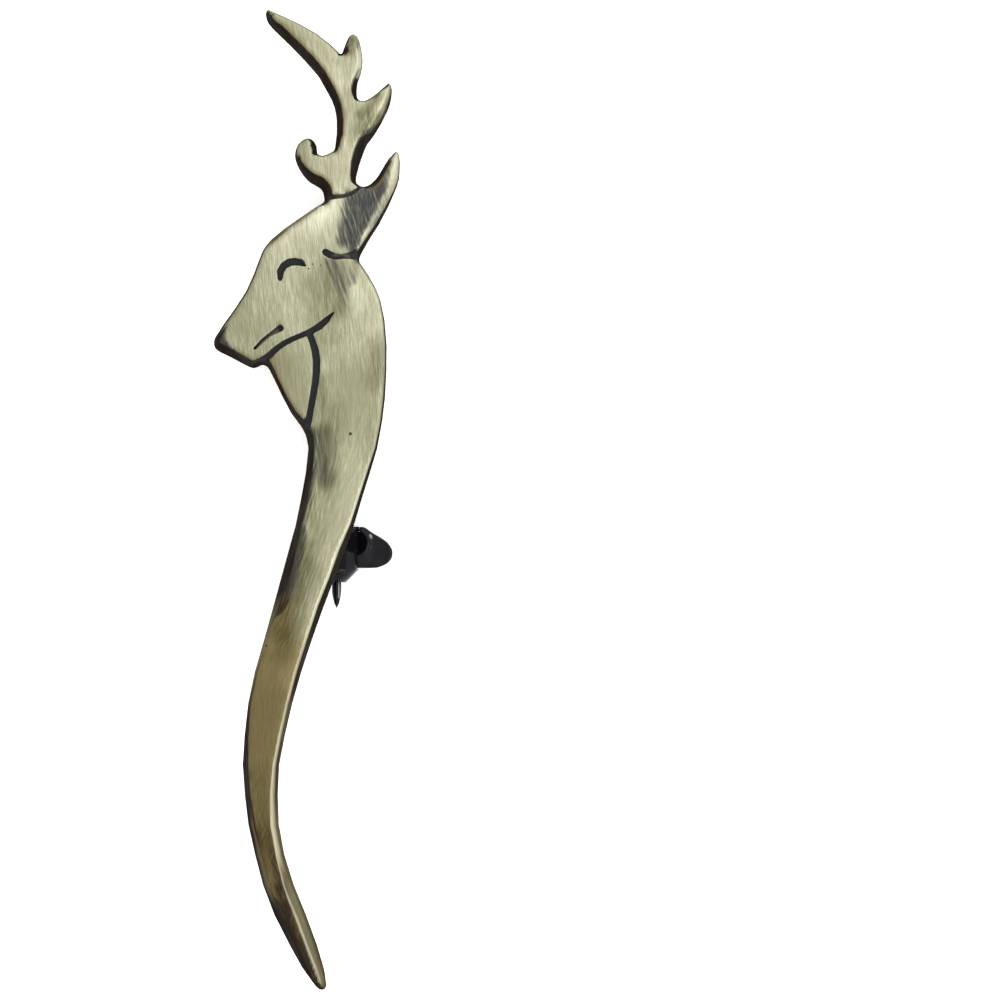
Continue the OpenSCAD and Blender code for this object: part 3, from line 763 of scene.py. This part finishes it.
def grid_face(bm):
    """Marks the plate's face and cuts it into small squares."""
    for f in bm.faces:
        f.material_index = int(level_with(f, FACE_Z))
    inside = [e for e in bm.edges if all(f.material_index == 1 for f in e.link_faces)]
    bmesh.ops.dissolve_limit(bm, angle_limit=math.radians(0.5), verts=[], edges=inside)
    cut_squares(bm, PLATE_LOW, PLATE_HIGH, GRID)


def face_edges(bm):
    """The engraved edges of the face and its outline, with the middle of each outline edge, the
    width of the wall below it and how far that wall faces the light."""
    engraved, outline = [], []
    middles, widths, facing = [], [], []
    for e in bm.edges:
        walls = [f for f in e.link_faces if f.material_index == 0]
        if len(walls) != 1 or len(e.link_faces) != 2:
            continue
        lowest = min(walls[0].verts, key=lambda v: v.co.z)
        if FACE_Z - lowest.co.z > BEVEL_DROP + NEAR:
            engraved.append(e)
            continue
        start, end = (v.co.to_2d() for v in e.verts)
        heading = (end - start).normalized()
        out = lowest.co.to_2d() - start
        if heading.cross(out) > 0.0:
            heading.negate()
        outline.append(e)
        middles.append((e.verts[0].co + e.verts[1].co) / 2)
        widths.append(abs(heading.cross(out)) / MM)
        facing.append(Vector((heading.y, -heading.x)).dot(LIT_SIDE))
    return engraved, outline, middles, widths, facing


def rolled(away, reach, drop):
    """How far the face has dropped at a distance from its edge."""
    return drop * max(0.0, 1.0 - away / reach) ** 2


def cast_plate(material):
    """The cast plate, with its face rolled at the edges and scooped where the patina lies."""
    bm = plate_shell()
    layers = {name: bm.verts.layers.float.new(name) for name in PLATE_VALUES}
    brush = bm.verts.layers.float_vector.new("brush")
    grid_face(bm)
    face_verts = {v for f in marked(bm) for v in f.verts}
    engraved, outline, middles, widths, facing = face_edges(bm)
    edge_tree = flat_tree(along(outline, EDGE_STEP))
    line_tree = flat_tree(along(engraved, EDGE_STEP))
    rim_tree = flat_tree(middles)
    for v in bm.verts:
        x, y = v.co.x / MM, v.co.y / MM
        edge, line = away_from(edge_tree, v.co), away_from(line_tree, v.co)
        on_face = v in face_verts
        in_line = not on_face and BEVEL_DROP + NEAR < FACE_Z - v.co.z < LINE_DEPTH
        if on_face:
            from_line = line / MM * max(0.0, 1.0 - 2.0 * covered(SPREADS, x, y))
        else:
            from_line = 0.0 if in_line else FAR_FROM_LINES
        values = {
            "edge": edge / MM if on_face else 0.0,
            "line": from_line,
            "rim": mean_near(rim_tree, widths, v.co, RIM_MEAN),
            "side": mean_near(rim_tree, facing, v.co, RIM_MEAN),
            "bare": covered(BARE, x, y),
            "stain": covered(STAINS, x, y),
            "tone": total(LIGHT_AND_SHADE_PATCHES, x, y),
            "age": age_at(x, y),
            "creep": highest(CREEPS, x, y),
            "worn": highest(WORN_HIGHLIGHTS, x, y),
            "satin": covered(SATIN, x, y),
            "rounded": covered(ROUNDED, x, y)
        }
        for name, value in values.items():
            v[layers[name]] = value
        v[brush] = (x - brush_x(y), y, v.co.z / MM)
        if on_face:
            roll = [a + (b - a) * values["rounded"] for a, b in zip(EDGE_ROLL, WIDE_ROLL)]
            v.co.z -= rolled(edge, *roll) + rolled(line, *LINE_ROLL)
            v.co.z -= SCOOP * values["stain"] * smooth_step(0.0, SCOOP_EDGE, edge)
    unmark(bm)
    return finished(bm, "cast_stag", material, 40.0)


# Fittings on the back, in millimetres

# The catch: its axis, the radius of the rotor's bore with its clearance, the height of the case's
# lip, the radii that its shell's faces lie between and their least upward lean, and where the
# painted shade on its free end begins and how dark it is
AXIS_X, AXIS_Z = STEM_AXIS.x / MM, STEM_AXIS.z / MM
BORE_R = 1.80
LIP_Z = AXIS_Z + 0.84
SHELL_R = [2.2, 2.32]
SHELL_LEAN = 0.2
NOSE_Y, NOSE_SHADE = -6.8, 0.4

# Round hollow beside the root of the thumb lever, which runs on as a dent in the case, and how far
# outside and inside its radius its side starts and ends
HOLLOW_X, HOLLOW_Y, HOLLOW_R = 4.7, -4.4, 1.05
HOLLOW_SIDE = [0.15, 0.35]
HOLLOW_DEPTH, DENT_DEPTH = 0.6, 0.45

# Raised ring round the hollow: its radius, half width and height, and the heights between which
# it rises out of the lever
RING_R, RING_W, RING_H = 1.5, 0.35, 0.2
RING_RISES = [-6.4, -5.2]

# Shallow dish for the thumb. A place in it counts from 0 at its rim to 1 at its middle, and the
# dish has its full depth from DISH_FULL on
DISH_X, DISH_Y, DISH_R, DISH_DEPTH = 7.2, -5.3, 1.3, 0.2
DISH_FULL = 0.8

# Painted glint: a place on the lever given a bright colour as a highlight, as [x, y, x, y, reach]
GLINT = [6.42, -3.60, 6.52, -3.85, 0.11]
GLINT_SHARE = 0.9

# Outline of the thumb lever, as [x, y]: its root in the rotor, and its curve from the case's top
# corner round the free end
LEVER_ROOT = [[5.08, -3.27], [5.28, -3.27]]
LEVER = [
    [5.28, -2.78], [5.7, -2.78], [6.0, -2.9], [6.3, -3.15], [6.85, -3.5], [7.45, -3.85],
    [8.05, -4.25], [8.4, -4.65], [8.65, -5.1], [8.7, -5.55], [8.6, -6.0], [8.25, -6.45],
    [7.75, -6.75], [7.15, -6.95], [6.45, -7.0], [5.08, -7.0]
]
LEVER_T = 1.4
LEVER_ROUND = 0.3

# Width of the soft edges of the stem and the rivet, and how far below the plate's back the
# fittings are cut off
SOFT_EDGE = 0.08
CUT_BELOW = 0.02

# Where the rotor's tube ends and the lever's rounded edges begin
TUBE_END_X = 5.1
ROUND_FROM_X = 5.33

# Parts of the case and the lever that are cut into squares, as
# [lower left corner, upper right corner, size of a square]
CASE_GRID = [(3.7, -5.6), (5.3, -3.2), 0.12]
LEVER_GRID = [(5.0, -7.0), (8.7, -2.7), 0.14]


def curved(rows, steps):
    """Points on a smooth curve through the rows of a table."""
    ends = [rows[0]] + rows + [rows[-1]]
    points = []
    for a, b, c, d in zip(ends, ends[1:], ends[2:], ends[3:]):
        for i in range(steps):
            t = i / steps
            points.append([
                0.5 * (2 * q + (r - p) * t + (2 * p - 5 * q + 4 * r - s) * t ** 2
                       + (3 * q - p - 3 * r + s) * t ** 3)
                for p, q, r, s in zip(a, b, c, d)
            ])
    return points + [rows[-1]]


def grid_marked(bm, low, high, size):
    """Cuts the marked faces into squares between two corners given in millimetres."""
    cut_squares(bm, [c * MM for c in low], [c * MM for c in high], size * MM)


def from_hollow(x, y):
    return math.hypot(x - HOLLOW_X, y - HOLLOW_Y)


def hollow_at(x, y):
    """How far a place lies inside the hollow, 0 to 1."""
    start, end = HOLLOW_R + HOLLOW_SIDE[0], HOLLOW_R - HOLLOW_SIDE[1]
    return smooth_step(start, end, from_hollow(x, y))


def bore_top(x):
    """Height of the top of the rotor's bore at a place across it."""
    return AXIS_Z + math.sqrt(max(0.0, BORE_R ** 2 - (x - AXIS_X) ** 2))


def fittings(material):
    """The hinge's ears and the case of the catch, below the plate's back."""
    bm = merged("stag_body")
    rim = cut_off(bm, (0, 0, BACK_Z - CUT_BELOW * MM), (0, 0, 1), above=True)
    bmesh.ops.holes_fill(bm, edges=rim)
    join_flats(bm)
    hollow = bm.verts.layers.float.new("hollow")
    for f in bm.faces:
        middle = f.calc_center_median() / MM
        away = math.hypot(middle.x - AXIS_X, middle.z - AXIS_Z)
        if f.normal.z > SHELL_LEAN and middle.x > AXIS_X and SHELL_R[0] < away < SHELL_R[1]:
            f.material_index = 1
    grid_marked(bm, *CASE_GRID)
    # Painted shade: the case's free end is marked to be coloured darker
    for v in bm.verts:
        if v.co.y < NOSE_Y * MM:
            v[hollow] = NOSE_SHADE
    for v in {v for f in marked(bm) for v in f.verts}:
        x, y, z = v.co / MM
        # Painted shade: the hollow is marked to be coloured near black, as well as dented
        v[hollow] = hollow_at(x, y)
        if v[hollow] > 0.0:
            floor_z = min(z, max(bore_top(x), LIP_Z))
            v.co.z = max(floor_z, z - DENT_DEPTH * v[hollow]) * MM
    unmark(bm)
    return finished(bm, "hinge_and_case", material, 50.0)


def add_lever(bm, top_z):
    """Adds the thumb lever with rounded edges, and marks its flat top."""
    outline = LEVER_ROOT + curved(LEVER, 4)
    face = bm.faces.new([bm.verts.new((x * MM, y * MM, top_z)) for x, y in outline])
    low = new_verts(bmesh.ops.extrude_face_region(bm, geom=[face]))
    bmesh.ops.translate(bm, verts=low, vec=(0, 0, -LEVER_T * MM))
    lever = {*low, *face.verts}
    bmesh.ops.recalc_face_normals(bm, faces=bm.faces)
    rims = [
        e for e in bm.edges
        if all(v in lever for v in e.verts)
        and max(v.co.x for v in e.verts) > ROUND_FROM_X * MM
        and abs(e.verts[0].co.z - e.verts[1].co.z) < NEAR
    ]
    bmesh.ops.bevel(
        bm, geom=rims, offset=LEVER_ROUND * MM, offset_type="OFFSET", segments=4, profile=0.5,
        affect="EDGES", material=-1, clamp_overlap=True
    )
    for f in bm.faces:
        if level_with(f, top_z) and len(f.verts) >= len(LEVER):
            f.material_index = 1


def rotor(material):
    """The slit tube of the catch with its thumb lever, which has a round hollow at its root."""
    bm = merged("catch_rotor")
    join_flats(bm)
    bmesh.ops.holes_fill(bm, edges=cut_off(bm, (TUBE_END_X * MM, 0, 0), (1, 0, 0), above=True))
    hollow = bm.verts.layers.float.new("hollow")
    painted_glint = bm.verts.layers.float.new("painted_glint")
    add_lever(bm, STEM_AXIS.z + LEVER_T / 2 * MM)
    grid_marked(bm, *LEVER_GRID)
    for v in {v for f in marked(bm) for v in f.verts}:
        x, y = v.co.x / MM, v.co.y / MM
        # Painted shade: the hollow is marked to be coloured near black, as well as sunk
        v[hollow] = hollow_at(x, y)
        # Painted glint: marks the spot on the lever that is coloured bright
        v[painted_glint] = GLINT_SHARE * nearness(GLINT, x, y)
        ring = smooth_step(RING_W, 0.0, abs(from_hollow(x, y) - RING_R))
        dish = 1.0 - ((x - DISH_X) ** 2 + (y - DISH_Y) ** 2) / DISH_R ** 2
        raised = RING_H * ring * smooth_step(*RING_RISES, y)
        raised -= HOLLOW_DEPTH * v[hollow] + DISH_DEPTH * smooth_step(0.0, DISH_FULL, dish)
        v.co.z += raised * MM
    unmark(bm)
    return finished(bm, "rotor", material)


def softened(node, name, material):
    """A copy of a CAD node with small bevels on its sharp edges."""
    bm = merged(node)
    join_flats(bm)
    piece = finished(bm, name, material)
    bevel = piece.modifiers.new("soft_edges", "BEVEL")
    bevel.width = SOFT_EDGE * MM
    bevel.segments = 3
    bevel.limit_method = "ANGLE"
    bevel.angle_limit = math.radians(40)
    return piece


brass = antique_brass()
gunmetal = black_gunmetal("black_gunmetal", 0.0)
# The stem's glossy material also carries the painted highlight stripe
polish_and_highlight = black_gunmetal("polished_gunmetal", 1.0, STEM_HIGHLIGHT)
placed(cast_plate(brass), "body", "antique_brass", "stag_body")
placed(fittings(gunmetal), "body", "gunmetal")
placed(softened("hinge_rivet", "rivet", gunmetal), "body", "gunmetal", "hinge_rivet")
placed(softened("pin_stem", "stem", polish_and_highlight), "stem", "gunmetal", "pin_stem")
placed(rotor(gunmetal), "rotor", "gunmetal", "catch_rotor")


# Floor, light and camera

# Width and middle of the view at the height of the plate, and the camera's height and sensor
VIEW_W = 102.04 * MM
VIEW_X = 19.70 * MM
VIEW_Y = -0.02 * MM
SIGHT_Z = 6.0 * MM
CAMERA_UP = 0.9
SENSOR = 36.0

# Strength of the sky on the side away from the brighter one, and on the brighter one
SKY = [1.6, 2.9]


def floor():
    bm = bmesh.new()
    bmesh.ops.create_grid(bm, x_segments=1, y_segments=1, size=0.6)
    piece = finished(bm, "floor", pale_floor())


def lamp(name, place, aim, size, power):
    light = bpy.data.lights.new(name, "AREA")
    light.shape = "DISK"
    light.size = size
    light.energy = power
    piece = bpy.data.objects.new(name, light)
    piece.location = place
    piece.rotation_mode = "QUATERNION"
    piece.rotation_quaternion = (Vector(aim) - Vector(place)).to_track_quat("-Z", "Y")
    bpy.context.scene.collection.objects.link(piece)


def studio():
    """A white sky that is brighter on one side."""
    world = bpy.data.worlds.new("studio")
    world.use_nodes = True
    tree = world.node_tree
    sky = tree.nodes["Background"].inputs
    sky["Color"].default_value = (1.0, 1.0, 1.0, 1.0)
    way = tree.nodes.new("ShaderNodeTexCoord").outputs["Generated"]
    dot = tree.nodes.new("ShaderNodeVectorMath")
    dot.operation = "DOT_PRODUCT"
    dot.inputs[1].default_value = LIT_SIDE.to_3d()
    level = tree.nodes.new("ShaderNodeMapRange")
    level.inputs["From Min"].default_value = -1.0
    level.inputs["To Min"].default_value, level.inputs["To Max"].default_value = SKY
    tree.links.new(way, dot.inputs[0])
    tree.links.new(dot.outputs["Value"], level.inputs["Value"])
    tree.links.new(level.outputs["Result"], sky["Strength"])
    bpy.context.scene.world = world
    bpy.context.scene.view_settings.view_transform = "Standard"


def camera():
    data = bpy.data.cameras.new("camera")
    data.sensor_width = SENSOR
    data.lens = SENSOR * (CAMERA_UP - SIGHT_Z) / VIEW_W
    data.clip_end = 10.0
    piece = bpy.data.objects.new("camera", data)
    piece.location = (VIEW_X, VIEW_Y, CAMERA_UP)
    bpy.context.scene.collection.objects.link(piece)
    bpy.context.scene.camera = piece


floor()
studio()
lamp("key", place=(0.50, -0.27, 0.57), aim=(0.0, 0.0, 0.0), size=0.12, power=0.9)
camera()
